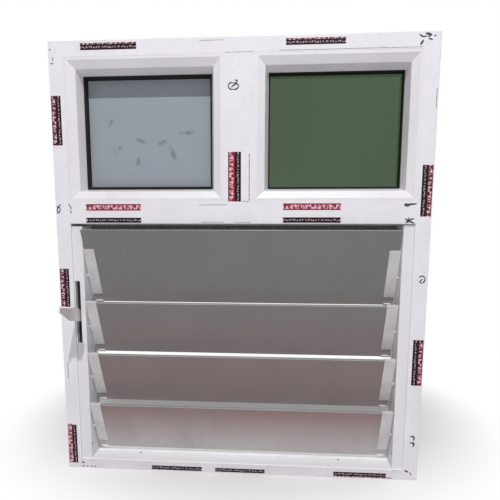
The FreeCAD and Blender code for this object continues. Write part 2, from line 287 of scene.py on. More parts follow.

# %% [markdown]
# The frame is white plastic. A real extrusion isn't one flat white: there is a faint cloudiness
# from the die, a fine grain, and grey dust where hands and cloths have passed. The sill gets the
# same finish in a brighter white, painted light for the lamp that falls on its top.

# %% White plastic of frame and beads
def white_plastic(name, colour, dull):
    """Satin white plastic, clouded between colour and dull, with fine grain and faint dust."""
    material, tree, shader = new_finish(name, 0.34, Coat_Weight=0.08, Coat_Roughness=0.25)
    cloud = noise(tree, placed(tree), 7.0)
    grain = noise(tree, placed(tree, (1, 1, 0.35)), 420.0, 3.0)
    dust_and_painted_light = spread(tree, noise(tree, placed(tree, shift=(3, 1, 2)), 23.0, 8.0, 0.7), 0.56, 0.8)
    clouded = blend(tree, spread(tree, cloud, 0.35, 0.7), colour, dull)
    paint(tree, shader, math_node(tree, "MULTIPLY", dust_and_painted_light, 0.35), clouded, (0.55, 0.53, 0.52))
    tree.links.new(spread(tree, cloud, 0.3, 0.7, 0.28, 0.42), shader.inputs["Roughness"])
    emboss(tree, shader, grain, 0.25, 0.0002)
    return material


plastic = white_plastic("white_plastic", (0.81, 0.80, 0.83), (0.765, 0.75, 0.78))
bead_names = [side + "_light_bead_" + run for side in ("left", "right")
              for run in ("top", "bottom", "left", "right")]
dress(plastic, "frame_head", "frame_left_stile", "frame_right_stile", "transom", "mullion", *bead_names)
# The sill's brighter white is painted light from the lamp above.
sill_plastic_painted_light = white_plastic("sill_white_painted_light", (0.93, 0.95, 0.965), (0.89, 0.905, 0.92))
dress(sill_plastic_painted_light, "frame_sill")

# %% [markdown]
# The louvre channels are folded metal under white powder coat, which has a finer orange-peel
# texture than the plastic. Between the walls the colour is painted dark, painted shade seen through
# the lever's slot: a place counts as inside when it is more than half a wall away from each side,
# and the painted shade deepens with its depth.

# %% White powder coat of the louvre channels, with painted shade inside
half_wall = 1.0 * MM
shade_begins, shade_full = 11 * MM, 16 * MM
channel_low, channel_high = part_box("left_louvre_channel")
coat_with_painted_shade, tree, shader = new_finish("white_coat_painted_shade_inside", 0.42)
peel = noise(tree, placed(tree), 260.0, 2.0, 0.5)
rub = spread(tree, noise(tree, placed(tree, (1, 1, 0.2), shift=(2, 5, 1)), 40.0, 6.0, 0.7), 0.6, 0.82)
painted = blend(tree, math_node(tree, "MULTIPLY", rub, 0.5), (0.78, 0.775, 0.81), (0.56, 0.54, 0.56))
across_x, deep_y, _ = axes_of(tree)
from_middle = math_node(tree, "ABSOLUTE", across_x)
wall_tests = (
    ("LESS_THAN", from_middle, -channel_low[0] - half_wall),
    ("GREATER_THAN", from_middle, -channel_high[0] + half_wall),
    ("GREATER_THAN", deep_y, channel_low[1] + half_wall),
    ("LESS_THAN", deep_y, channel_high[1] - half_wall),
)
inside = 1.0
for test, value, limit in wall_tests:
    inside = math_node(tree, "MULTIPLY", math_node(tree, test, value, limit), inside)
# Painted shade: the inside turns dark with its depth behind the slot.
painted_shade_depth = spread(tree, deep_y, channel_low[1] + shade_begins, channel_low[1] + shade_full)
paint(tree, shader, math_node(tree, "MULTIPLY", inside, painted_shade_depth), painted, (0.10, 0.105, 0.10))
emboss(tree, shader, peel, 0.3, 0.0004)
dress(coat_with_painted_shade, "left_louvre_channel", "right_louvre_channel")

# %% [markdown]
# A clear protective film still covers the room face of each profile. It lies almost flat, but it
# has come loose in a few narrow creases. One height function over the face serves the film and
# everything printed on it, so no crease can cut through a print.

# %% Height of the film over the face
film_lift = 0.15 * MM
wave_mm = 0.12
# Each crease: middle x, middle z, turn in degrees, half length, half width, height, all lengths in mm
creases = np.array([
    [447, 1017, 4, 14, 1.6, 0.7], [449, 850, -6, 13, 1.8, 0.8], [447, 535, 2, 15, 1.5, 0.7],
    [446, 380, -3, 15, 1.7, 0.8], [446, 225, 6, 15, 2.2, 0.9], [-449, 812, 3, 12, 1.6, 0.5],
    [-447, 610, -5, 13, 1.5, 0.5], [-446, 250, 4, 13, 1.6, 0.5], [310, 1070, 80, 12, 1.8, 0.5],
    [-150, 1071, 95, 10, 1.5, 0.4], [20, 905, 12, 18, 2.0, 0.5], [330, 683, 75, 16, 1.8, 0.5],
])


def film_height(x, z):
    """Height of the film in metres: ridges and a slow wave.

    Each ridge is a Gaussian across and a soft step along; the wave is a sine in x times a cosine in z.
    """
    cx, cz, turn, half, wide, high = creases.T
    c, s = np.cos(np.radians(turn)), np.sin(np.radians(turn))
    dx = x[..., None] / MM - cx
    dz = z[..., None] / MM - cz
    along = dx * c + dz * s
    across = dz * c - dx * s
    ridge = high * np.exp(-(across / wide) ** 2) / (1 + (along / half) ** 8)
    slow = wave_mm * np.sin(x / MM / 31.0 + 1.7 * np.sin(z / MM / 47.0)) * np.cos(z / MM / 39.0)
    return film_lift + MM * (ridge.sum(axis=-1) + wave_mm + slow)


def film_point(x, z, lift=0.0):
    """Points on the film at x, z: the face plane less the film's height and an extra lift."""
    return np.stack([x, face_y - film_height(x, z) - lift, z], axis=-1)


highest = film_lift / MM + creases[:, 5].max() + 2 * wave_mm
print("film stands between %.2f and %.2f mm off the face" % (film_lift / MM, highest))

# %% [markdown]
# Each strip of film is a patch between four corners: along a profile one way and across it the
# other. Mitred corners need no cutting, because the corners of the patch already lie on the mitre.
# First come the corners, a hair apart where two strips meet.

# %% Corners of the film strips
film_gap = 0.06 * MM
edge_in = 1.8 * MM
joint_in = -0.3 * MM
x_out, x_in = outer_left + edge_in, open_left - joint_in
z_out, z_in = outer_top - edge_in, head_low + joint_in
z_foot, z_sill = edge_in, sill_top - edge_in
transom_from, transom_to = open_left + film_gap, open_right - film_gap
transom_up, transom_down = transom_high - joint_in, transom_low + edge_in
mullion_from, mullion_to = mullion_left + joint_in, mullion_right - joint_in
mullion_up, mullion_down = head_low - film_gap, transom_high + film_gap
strips = {
    "film_head": [(x_out + film_gap, z_out), (-x_out - film_gap, z_out),
                  (-x_in - film_gap, z_in), (x_in + film_gap, z_in)],
    "film_left_stile": [(x_out, z_foot + film_gap), (x_out, z_out - film_gap),
                        (x_in, z_in - film_gap), (x_in, z_sill + film_gap)],
    "film_right_stile": [(-x_in, z_sill + film_gap), (-x_in, z_in - film_gap),
                         (-x_out, z_out - film_gap), (-x_out, z_foot + film_gap)],
    "film_transom": [(transom_from, transom_up), (transom_to, transom_up),
                     (transom_to, transom_down), (transom_from, transom_down)],
    "film_mullion": [(mullion_from, mullion_down), (mullion_from, mullion_up),
                     (mullion_to, mullion_up), (mullion_to, mullion_down)],
    "film_sill": [(x_in + film_gap, z_sill), (-x_in - film_gap, z_sill),
                  (-x_out - film_gap, z_foot), (x_out + film_gap, z_foot)],
}
print(len(strips), "strips of film")

# %% [markdown]
# Real film has two sides and a cut edge. Solidify gives the patch its thickness, and its border
# edges are marked sharp, so the cut catches the light. The film is clear, so its colour is that of
# the white under it, greyer where air has come between. Over the sill it is painted a little rosy,
# a painted reflection of reddish surroundings.

# %% Strips of film on the profiles
film_thick = 0.1 * MM


def film_strip(name, corners, along=240, across=14):
    """Patch p(u, v) = (1-v)((1-u)a + ub) + v((1-u)d + uc) on the film, with its border edges sharp."""
    a, b, c, d = np.array(corners)
    u = np.linspace(0, 1, along)[:, None, None]
    v = np.linspace(0, 1, across)[None, :, None]
    flat = (1 - v) * ((1 - u) * a + u * b) + v * ((1 - u) * d + u * c)
    strip = piece_from_grids(name, [film_point(flat[..., 0], flat[..., 1])], facing=room)
    ends = np.empty(len(strip.data.edges) * 2, dtype=np.int32)
    strip.data.edges.foreach_get("vertices", ends)
    place = np.stack([ends // across, ends % across], axis=-1).reshape(-1, 2, 2)
    border = ((place == 0) | (place == [along - 1, across - 1])).all(axis=1).any(axis=1)
    strip.data.edges.foreach_set("use_edge_sharp", border)
    shell = strip.modifiers.new("thickness", "SOLIDIFY")
    shell.thickness = film_thick
    shell.offset = -1.0
    return strip


def clear_film(name, colour, cloudy):
    """Glossy film on white: bright where it sticks, a little greyer where air is under it."""
    material, tree, shader = new_finish(name, 0.2, Coat_Weight=0.25, Coat_Roughness=0.08)
    air = spread(tree, noise(tree, placed(tree), 18.0, 6.0, 0.65), 0.42, 0.68)
    smear = spread(tree, noise(tree, placed(tree, (1, 1, 0.3), shift=(4, 0, 1)), 60.0, 5.0, 0.7), 0.6, 0.8)
    base = blend(tree, air, colour, cloudy)
    paint(tree, shader, math_node(tree, "MULTIPLY", smear, 0.25), base, (0.62, 0.60, 0.61))
    tree.links.new(spread(tree, air, 0.0, 1.0, 0.16, 0.34), shader.inputs["Roughness"])
    emboss(tree, shader, noise(tree, placed(tree), 150.0, 3.0), 0.15, 0.0004)
    return material


film = clear_film("clear_film", (0.82, 0.82, 0.86), (0.775, 0.77, 0.81))
# Over the sill the rosy tint is a painted reflection of reddish surroundings.
film_painted_rosy_reflection = clear_film("film_painted_rosy_reflection", (0.78, 0.75, 0.785), (0.71, 0.675, 0.71))
for name, corners in strips.items():
    settle(film_strip(name, corners), film_painted_rosy_reflection if name == "film_sill" else film, "frame")

# %% [markdown]
# The film carries printed bands. Here they are plain: a red band, darker on head, sill and most of
# the stiles, and a black band, with a few fine lines. Every band is its own small patch on the film,
# with a flat map in metres, so the bare spots in its ink keep one size however long the band is.

# %% Places of the printed bands
# Each band: x from, x to, z from, z to, in mm
red_bands = [
    (-26, -9.5, 709, 827), (-386, -245, 687.5, 703.5), (109, 249, 688.5, 704.5),
    (-462.2, -450.5, 14, 124),
]
crimson_bands = [
    (-384, -246, 1078.5, 1082), (110, 249, 1077.5, 1081),
    (-462.6, -451, 846, 963), (-462.6, -450.5, 440, 541),
    (450.5, 462.6, 673, 793), (450.5, 462.6, 254, 371), (252, 402, 2.4, 5.2),
]
black_bands = [
    (-384, -246, 1066, 1078.5), (110, 249, 1066, 1077.5),
    (-451, -438.5, 846, 963), (-450.5, -438.5, 440, 541), (-450.5, -438, 14, 122),
    (-9.5, 5.5, 709, 827), (-386, -245, 657.5, 670), (109, 249, 658, 671),
    (437.5, 450.5, 673, 793), (437.5, 450.5, 254, 371),
    (-234, -98, 3.2, 14.5), (-62, 70, 3.4, 14), (250, 386, 5.2, 16),
]
hair_lines = [
    (25.0, 26.8, 710, 824), (8, 26, 708.4, 709.5), (-93, -36, 1080.5, 1081.5), (-98, -28, 700.5, 701.7),
    (-93, -37, 658.9, 659.9), (95, 424, 1054.4, 1055.5), (-10, 30, 658.3, 659.3),
    (-33, 33, 1053.1, 1054.1), (459.8, 461.4, 922, 965), (401, 421, 24.6, 25.3),
    (-454.4, -452.8, 251, 294),
]


def band_grids(bands, lift, step):
    """Patches x0..x1 by z0..z1 on the film; the flat map runs along the longer side, in metres."""
    grids, flats = [], []
    for x0, x1, z0, z1 in np.array(bands) * MM:
        u = np.linspace(x0, x1, max(2, int((x1 - x0) / step) + 2))
        v = np.linspace(z1, z0, max(2, int((z1 - z0) / step) + 2))
        x, z = np.meshgrid(u, v, indexing="ij")
        grids.append(film_point(x, z, lift))
        middle_x, middle_z = (x0 + x1) / 2, (z0 + z1) / 2
        if z1 - z0 > x1 - x0:
            flats.append(np.stack([z, x], -1) - np.array([middle_z, middle_x]))
        else:
            flats.append(np.stack([x, z], -1) - np.array([middle_x, middle_z]))
    return grids, flats


print(len(red_bands + crimson_bands), "red and", len(black_bands), "black bands,", len(hair_lines), "lines")

# %% [markdown]
# The ink could be one colour, but print on film wears. One finish serves all four inks: along the
# middle of a band runs a row with a ragged border, and in that row the ink is missing in patches.

# %% Inks of the printed bands
print_lift = 0.12 * MM
print_step = 4 * MM
row_edge = 0.8 * MM


def ink(name, colour, worn, bare, grain, row, ragged, limit):
    """Printed ink, bare where a noise is over limit and |v| plus a ragged noise is less than row."""
    material, tree, shader = new_finish(name, 0.5, Specular_IOR_Level=0.15)
    wear = spread(tree, noise(tree, placed(tree), 300.0, 4.0, 0.7), 0.5, 0.75)
    inked = blend(tree, math_node(tree, "MULTIPLY", wear, 0.5), colour, worn)
    _, across, _ = axes_of(tree, "UV")
    ruffle = noise(tree, placed(tree, source="UV", shift=(2, 0, 0)), grain, 2.0)
    off_row = math_node(tree, "ADD", math_node(tree, "ABSOLUTE", across),
                        math_node(tree, "MULTIPLY", ruffle, ragged))
    in_row = spread(tree, off_row, row, row + row_edge, 1.0, 0.0)
    spots = noise(tree, placed(tree, (1, 0.45, 0), source="UV"), grain, 3.0, 0.6)
    patches = spread(tree, spots, limit, limit + 0.07)
    paint(tree, shader, math_node(tree, "MULTIPLY", in_row, patches), inked, bare)
    return material


red_ink = ink("red_ink", (0.24, 0.013, 0.035), (0.38, 0.07, 0.12), (0.80, 0.53, 0.60),
              grain=190.0, row=7.0 * MM, ragged=5.0 * MM, limit=0.47)
crimson_ink = ink("crimson_ink", (0.09, 0.006, 0.02), (0.2, 0.03, 0.06), (0.76, 0.53, 0.60),
                  grain=190.0, row=6.0 * MM, ragged=5.0 * MM, limit=0.48)
black_ink = ink("black_ink", (0.017, 0.005, 0.010), (0.05, 0.02, 0.028), (0.66, 0.57, 0.60),
                grain=330.0, row=3.0 * MM, ragged=3.2 * MM, limit=0.5)
hair_ink = ink("hair_ink", (0.10, 0.09, 0.10), (0.3, 0.28, 0.3), (0.5, 0.48, 0.5),
               grain=200.0, row=2.0 * MM, ragged=1.0 * MM, limit=0.5)
prints = (("print_red", red_bands, red_ink), ("print_crimson", crimson_bands, crimson_ink),
          ("print_black", black_bands, black_ink), ("print_lines", hair_lines, hair_ink))
for name, bands, finish in prints:
    grids, flats = band_grids(bands, print_lift, print_step)
    settle(piece_from_grids(name, grids, flats, facing=room), finish, "frame")

# %% [markdown]
# Fitters tick off a window with a marker pen. A pen stroke is a narrow ribbon along a quadratic
# curve. All strokes are worked out at once and become one mesh.

# %% Pen ticks
pen_lift = 0.16 * MM
# Each stroke: start x, z, pull x, z, end x, z, half width, in mm
strokes = np.array([
    [-25, 978, -24, 987, -14, 985, 1.7], [-14, 985, -2, 984, 0, 977, 1.7],
    [0, 977, -4, 969, -14, 970, 1.7], [-14, 970, -24, 970, -25, 978, 1.7],
    [-17, 974, -14, 983, -11, 978, 1.6], [-11, 978, -8, 983, -3, 990, 1.7],
    [-3, 990, -5, 992, -9, 990, 1.5], [414.5, 1083, 420, 1074, 431.5, 1078, 1.8],
    [428, 1083, 435, 1083.5, 442, 1080, 2.6], [442, 1080, 438, 1078, 433, 1076, 1.7],
    [424, 1070, 421, 1063, 417, 1059, 2.3], [435, 1072.5, 440, 1072, 444.5, 1069.5, 1.8],
    [447.5, 1078, 450, 1078.5, 452, 1077, 1.7], [-462, 697, -455, 698, -453, 691, 1.7],
    [-453, 691, -455, 682, -460, 681, 1.7], [-460, 681, -463, 690, -456, 699, 1.5],
    [-456, 699, -453, 702, -451, 703, 1.4], [-432, 705, -424, 697, -425, 690, 1.2],
    [-428, 688, -423, 684, -427, 681, 1.2], [400, 703, 404, 698, 412, 701, 4.0],
    [402, 702, 412, 701, 428, 703, 2.2], [402, 668, 412, 662, 425, 657, 2.0],
    [404, 658, 412, 666, 424, 668, 2.0], [410, 671, 412, 664, 409, 657, 1.6],
    [443, 527, 451, 534, 457, 526, 1.7], [457, 526, 458, 514, 449, 513, 1.7],
    [449, 513, 441, 516, 452, 523, 1.6], [442, 118, 457, 123, 450, 108, 2.2],
    [442, 101, 457, 106, 450, 91, 2.3], [432, 26.5, 437, 25, 443, 22, 2.2],
    [446, 22, 449, 19, 450, 13, 1.4], [-455, 1052, -451, 1046, -454, 1043, 1.2],
    [-460, 1039, -456, 1035, -452, 1038, 1.2], [-460, 1071, -458, 1069, -460, 1067, 1.5],
    [-428, 17, -424, 14, -420, 16, 2.0], [-426.3, 5, -424, 5.5, -421.7, 5, 1.7],
    [-414.3, 5, -412, 5.5, -409.7, 5, 1.6], [-403.3, 5, -401, 5.5, -398.7, 5, 1.6],
    [-393.3, 5, -391, 5.5, -388.7, 5, 1.6],
])


def ribbon_grids(table, samples=13):
    """Ribbons p(t) = (1-t)^2 a + 2t(1-t) b + t^2 c, widened sideways and narrowed to each end."""
    t = np.linspace(0, 1, samples)[None, :, None]
    a, b, c = (table[:, None, k:k + 2] for k in (0, 2, 4))
    line = (1 - t) ** 2 * a + 2 * t * (1 - t) * b + t ** 2 * c
    slope = 2 * (1 - t) * (b - a) + 2 * t * (c - b)
    slope /= np.linalg.norm(slope, axis=-1, keepdims=True)
    side = np.stack([-slope[..., 1], slope[..., 0]], axis=-1)
    half = table[:, None, 6:7] * (0.45 + 0.55 * np.sin(np.pi * t) ** 0.6)
    edges = np.stack([line + side * half, line - side * half], axis=2) * MM
    return list(film_point(edges[..., 0], edges[..., 1], pen_lift))


pen, tree, shader = new_finish("marker_pen", 0.5, Specular_IOR_Level=0.2)
ink_fade = spread(tree, noise(tree, placed(tree), 500.0, 3.0), 0.4, 0.75)
paint(tree, shader, ink_fade, (0.03, 0.03, 0.035), (0.16, 0.16, 0.17))
settle(piece_from_grids("pen_ticks", ribbon_grids(strokes), facing=room), pen, "frame")

# %% [markdown]
# The glass of the upper lights is held by black rubber. The CAD rings are flat; real glazing rubber
# has a rounded lip with a shallow groove. A closed profile is carried round the rectangle of the
# light, and the corners come out mitred because each profile point draws its own rectangle. The lower
# run shows a little more, because the glass stands on it and presses its lip up.

# %% Rubber gaskets with a rounded lip
inner_lips = {"left": 4.5 * MM, "right": 2.5 * MM}
outer_lip = 2.0 * MM
outer_sight = 28.0 * MM
lip_overlap = 1.0 * MM
rubber_reach = 12.0 * MM


def frame_grid(low, high, profile):
    """Carry profile points (outward, y) round the rectangle low..high: one rectangle per point."""
    out = profile[:, 0][None, :]
    y = np.broadcast_to(profile[:, 1][None, :], (4, len(profile)))
    x = np.concatenate([low[0] - out, high[0] + out, high[0] + out, low[0] - out])
    z = np.concatenate([low[1] - out, low[1] - out, high[1] + out, high[1] + out])
    return np.stack([x, y, z], axis=-1)


def gasket(side, inner):
    """Rubber ring for one light: half a flattened ellipse on its open side, with a shallow groove."""
    node = side + ("_light_gasket" if inner else "_light_outer_gasket")
    low, high = (np.array(corner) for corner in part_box(node))
    bead = np.array(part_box(side + "_light_bead_bottom")[1])[2]
    lip = inner_lips[side] if inner else outer_lip
    edge = bead + lip if inner else transom_high + outer_sight
    bulge = 1.4 * MM if inner else 0.5 * MM
    pressed_up = 2.5 * MM if inner else 0.0
    front, rear = (low[1], high[1]) if inner else (high[1], low[1])
    toward = -1 if inner else 1
    reach = edge - low[2]
    outer = min(reach, rubber_reach)
    t = np.linspace(0, np.pi, 15)
    across = (lip + lip_overlap) * (1 - np.cos(t)) / 2
    groove = 1 - 0.15 * np.exp(-((t - 1.9) / 0.3) ** 2)
    rise = front + toward * bulge * np.sin(t) * groove
    section = np.concatenate([np.stack([across, rise], -1), [[outer, front], [outer, rear], [0, rear]]])
    inset_low = (low[0] + reach, low[2] + reach + pressed_up)
    inset_high = (high[0] - reach, high[2] - reach)
    ring = piece_from_grids(node + "_rubber", [frame_grid(inset_low, inset_high, section)],
                            wrap_rows=True, wrap_columns=True, smooth=False)
    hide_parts(node)
    return ring


rubber, tree, shader = new_finish("black_rubber", 0.7, Specular_IOR_Level=0.25)
bloom = spread(tree, noise(tree, placed(tree), 45.0, 7.0, 0.7), 0.5, 0.8)
paint(tree, shader, bloom, (0.008, 0.007, 0.008), (0.022, 0.02, 0.022))
emboss(tree, shader, noise(tree, placed(tree), 700.0, 2.0), 0.3, 0.0002)
for side in ("left", "right"):
    for inner in (True, False):
        settle(gasket(side, inner), rubber, "frame")

# %% [markdown]
# Frosted glass keeps every touch. On the left pane there are a few finger marks, each a small
# stretched spot with a ragged border, and on the blades the broad soft wipes of a cloth. Both are
# fields from 0 to 1, which the glass finish reads as dirt.

# %% Finger marks and wipes
any_depth = 1000
# Each finger mark on the left pane: middle x, middle z, turn in degrees, half length, half width, in mm
finger_marks = [
    (-318, 850, 10, 20, 7), (-327, 841, 80, 17, 8), (-258, 868, -20, 21, 8), (-266, 817, 85, 22, 9),
    (-200, 862, 15, 22, 10), (-175, 836, 110, 29, 9), (-138, 886, 4, 28, 8), (-336, 911, 60, 15, 8),
]


def fingers(tree):
    """Ragged spots: each falls from 1 at its middle to 0 at its half sizes, and the largest counts."""
    total = 0.0
    for x, z, turn, half_long, half_wide in finger_marks:
        vector = placed(tree)
        mapping = vector.node
        mapping.vector_type = "TEXTURE"
        mapping.inputs["Location"].default_value = (x * MM, 0, z * MM)
        mapping.inputs["Rotation"].default_value = (0, -math.radians(turn), 0)
        mapping.inputs["Scale"].default_value = (half_long * MM, any_depth, half_wide * MM)
        spot = spread(tree, length_of(tree, vector), 0.15, 1.0, 1.0, 0.0)
        total = math_node(tree, "MAXIMUM", spot, total)
    ragged = spread(tree, noise(tree, placed(tree), 90.0, 4.0, 0.6), 0.3, 0.62)
    return math_node(tree, "MULTIPLY", total, ragged)


def wipes(tree):
    """Broad soft wipes left by a cloth."""
    broad = noise(tree, placed(tree, (1, 1, 0.6), shift=(7, 2, 3)), 9.0, 5.0, 0.6)
    return spread(tree, broad, 0.5, 0.74, 0.0, 0.3)


print(len(finger_marks), "finger marks")

# %% [markdown]
# The pane is a cool grey. The blades are a neutral grey at the top of the row and rosier lower
# down, painted light that comes through from behind. The lower part of each blade is painted paler,
# most of all on the lowest one, as painted light that lifts the shade cast there, and the height
# above each blade's foot tells how much. A texture could be unwrapped for every blade, but one rule
# on height serves all four.

# %% Tones of pane and blades, with painted light on the blades
blade_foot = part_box("blade_4")[0][2]
blade_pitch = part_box("blade_3")[0][2] - blade_foot
painted_light_halves = 17 * MM


def pane_tone(tree):
    """Cool grey glass that drifts slowly between two tones."""
    drift = spread(tree, noise(tree, placed(tree, (0.6, 1, 1)), 3.5, 3.0), 0.32, 0.68)
    return blend(tree, drift, (0.325, 0.362, 0.402), (0.31, 0.355, 0.382))


def blade_tone(tree):
    """Mottled grey glass, rosier lower down as painted light from behind, with painted light that halves
    every 17 mm above each blade's foot.
    """
    height = axes_of(tree)["Z"]
    # Rosier lower down: painted light coming through from behind.
    rosy_light_through = blend(tree, spread(tree, height, 0.15, 0.24), (0.32, 0.20, 0.198), (0.27, 0.21, 0.205))
    tint = blend(tree, spread(tree, height, 0.30, 0.52), rosy_light_through, (0.218, 0.22, 0.222))
    # Painted light: paler near each blade's foot, where the blade above casts shade, most on the lowest.
    above_foot = math_node(tree, "MODULO", math_node(tree, "SUBTRACT", height, blade_foot), blade_pitch)
    on_pitch = math_node(tree, "LESS_THAN", height, blade_foot + 4 * blade_pitch)
    thinning = math_node(tree, "POWER", 0.5, math_node(tree, "DIVIDE", above_foot, painted_light_halves))
    dust_and_painted_light = math_node(tree, "MULTIPLY", thinning, on_pitch)
    lowest_painted_light = spread(tree, height, 0.045, 0.20, 0.95, 0.0)
    painted_lifted = blend(tree, math_node(tree, "MAXIMUM", dust_and_painted_light, lowest_painted_light), tint, (0.60, 0.565, 0.555))
    mottle = spread(tree, noise(tree, placed(tree, (1, 1, 0.6)), 8.0, 5.0, 0.6), 0.3, 0.7, 0.0, 0.06)
    return blend(tree, mottle, painted_lifted, (0.0, 0.0, 0.0))


print("blades stand %.0f mm apart" % (blade_pitch / MM))

# %% [markdown]
# The blades and the left pane are acid-frosted glass. Light comes through without a picture, so the
# surface reads as a soft grey with smudges and a few dried drops. The shader is mostly diffuse with
# some rough transmission, which is how ground glass looks against a bright room. The right pane is
# clear glass with a green tint.

# %% Frosted and clear glass
def frosted(name, tone, smudge, dirt, clearness, gloss):
    """Frosted glass: its tone, darker where dirt lies, with tiny pale drops and a fine ground grain."""
    material, tree, shader = new_finish(name, 0.5, Transmission_Weight=clearness, IOR=1.45,
                                        Specular_IOR_Level=gloss)
    drift = spread(tree, noise(tree, placed(tree, (0.6, 1, 1)), 3.5, 3.0), 0.32, 0.68)
    drops = tree.nodes.new("ShaderNodeTexVoronoi")
    drops.inputs["Scale"].default_value = 24.0
    tree.links.new(placed(tree, (1, 0.2, 1)), drops.inputs["Vector"])
    dot = spread(tree, drops.outputs["Distance"], 0.035, 0.06, 1.0, 0.0)
    soiled = blend(tree, math_node(tree, "MULTIPLY", dirt(tree), 0.8), tone(tree), smudge)
    paint(tree, shader, math_node(tree, "MULTIPLY", dot, 0.35), soiled, (0.55, 0.55, 0.54))
    tree.links.new(spread(tree, drift, 0.0, 1.0, 0.42, 0.58), shader.inputs["Roughness"])
    emboss(tree, shader, noise(tree, placed(tree), 900.0, 2.0), 0.3, 0.0001)
    return material


blade_glass = frosted("frosted_blade", blade_tone, (0.24, 0.225, 0.22), wipes, clearness=0.12, gloss=0.5)
pane_glass = frosted("frosted_pane", pane_tone, (0.17, 0.185, 0.195), fingers, clearness=0.04, gloss=0.1)
dress(blade_glass, *["blade_%d" % k for k in range(1, 5)])
dress(pane_glass, "left_light_pane")

clear, tree, shader = new_finish("green_clear_glass", 0.03, Transmission_Weight=1.0, IOR=1.45,
                                 Specular_IOR_Level=0.25)
depth = noise(tree, placed(tree), 2.5, 3.0)
paint(tree, shader, depth, (0.034, 0.066, 0.026), (0.062, 0.10, 0.052))
haze = noise(tree, placed(tree, shift=(1, 4, 2)), 14.0, 6.0, 0.7)
tree.links.new(spread(tree, haze, 0.5, 0.8, 0.02, 0.1), shader.inputs["Roughness"])
dress(clear, "right_light_pane")

# %% [markdown]
# Louvre blades have ground and rounded long edges, which catch the light as a bright line. A half
# round is run along each edge of a blade. Its place is read from the blade itself: the longest
# direction of its section gives the tilt.

# %% Ground edges of the blades
edge_reach = 0.9 * MM
edge_sunk = 0.2 * MM
edge_proud = 0.05 * MM
end_round = 0.3 * MM


def blade_section(node):
    """Middle, long and thick direction, half length, half thickness and both x ends of a blade's section."""
    mesh = nodes[node].data
    points = np.empty(len(mesh.vertices) * 3)
    mesh.vertices.foreach_get("co", points)
    points = np.unique(points.reshape(-1, 3).round(6), axis=0)
    middle = points[:, 1:].mean(axis=0)
    along = np.linalg.svd(points[:, 1:] - middle)[2][0]
    along = along * np.sign(along[1])
    across = np.array([-along[1], along[0]])
    half_long = abs((points[:, 1:] - middle) @ along).max()
    half_thick = abs((points[:, 1:] - middle) @ across).max()
    return middle, along, across, half_long, half_thick, points[:, 0].min(), points[:, 0].max()


def rod_grid(x0, x1, section):
    """A closed section of points (y, z) run from x0 to x1 and drawn in to its middle at both ends."""
    core = section.mean(axis=0)
    x = np.array([x0, x0, x0 + end_round, x1 - end_round, x1, x1])
    size = np.array([0.0, 0.7, 1.0, 1.0, 0.7, 0.0])[:, None, None]
    rings = core + size * (section - core)[None]
    return np.concatenate([np.broadcast_to(x[:, None, None], (6, len(section), 1)), rings], axis=-1)


def ground_edge(node, end):
    """Half round along one edge: middle + end (half length + reach sin t) along + thickness cos t across."""
    middle, along, across, half_long, half_thick, x0, x1 = blade_section(node)
    t = np.linspace(0, np.pi, 13)
    lift = end * (half_long - edge_sunk + (edge_reach + edge_sunk) * np.sin(t) ** 0.8)
    wide = (half_thick + edge_proud) * np.cos(t)
    return rod_grid(x0, x1, middle + lift[:, None] * along + wide[:, None] * across)


edge_glass, tree, shader = new_finish("ground_edge", 0.3, Transmission_Weight=0.15, IOR=1.45)
chip = noise(tree, placed(tree, (1, 6, 6)), 90.0, 5.0, 0.7)
paint(tree, shader, spread(tree, chip, 0.35, 0.7), (0.36, 0.40, 0.36), (0.25, 0.28, 0.25))
for k in range(1, 5):
    half_rounds = [ground_edge("blade_%d" % k, end) for end in (1, -1)]
    edges = piece_from_grids("blade_%d_edges" % k, half_rounds, wrap_columns=True)
    settle(edges, edge_glass, "louvre_%d" % k)

# %% [markdown]
# Clips and lever are pressed metal under thin grey lacquer, cloudy and scuffed along the faces. The
# link bar is bare zinc, and the small cells of a Voronoi texture stand for its spangle.

# %% Grey clips, lever and zinc bar
def lacquer(name, colour, scuffed, roughness):
    """Thin lacquer on pressed metal: cloudy colour, long fine scuffs, small orange peel."""
    material, tree, shader = new_finish(name, roughness, Coat_Weight=0.1)
    cloud = spread(tree, noise(tree, placed(tree), 30.0, 5.0, 0.65), 0.35, 0.7)
    long_marks = noise(tree, placed(tree, (1, 0.4, 0.08), shift=(1, 2, 3)), 320.0, 4.0, 0.6)
    scuff = spread(tree, long_marks, 0.58, 0.72)
    base = blend(tree, cloud, colour, scuffed)
    paint(tree, shader, math_node(tree, "MULTIPLY", scuff, 0.4), base, (0.36, 0.35, 0.35))
    worn = spread(tree, cloud, 0.0, 1.0, roughness - 0.06, roughness + 0.1)
    tree.links.new(worn, shader.inputs["Roughness"])
    emboss(tree, shader, noise(tree, placed(tree), 350.0, 2.0), 0.25, 0.0002)
    return material


clip_grey = lacquer("clip_grey", (0.66, 0.65, 0.655), (0.585, 0.57, 0.575), 0.4)
lever_grey = lacquer("lever_grey", (0.84, 0.81, 0.815), (0.72, 0.68, 0.685), 0.4)
dress(clip_grey, *["clip_%s_%d" % (side, k) for side in ("left", "right") for k in range(1, 5)])
dress(lever_grey, "lever")

zinc, tree, shader = new_finish("zinc_plate", 0.35, Metallic=1.0)
spangle = tree.nodes.new("ShaderNodeTexVoronoi")
spangle.inputs["Scale"].default_value = 220.0
tree.links.new(placed(tree), spangle.inputs["Vector"])
paint(tree, shader, spangle.outputs["Distance"], (0.52, 0.53, 0.55), (0.36, 0.37, 0.39))
dress(zinc, "link_bar")

# %% [markdown]
# Each clip ends in a lip that is rolled over, and the roll catches the lamp as a short bright line.
# It is one rod across each lip, an ellipse in section, placed from the blade's own tilt. Its near
# white lacquer is a painted highlight over the clips' grey.

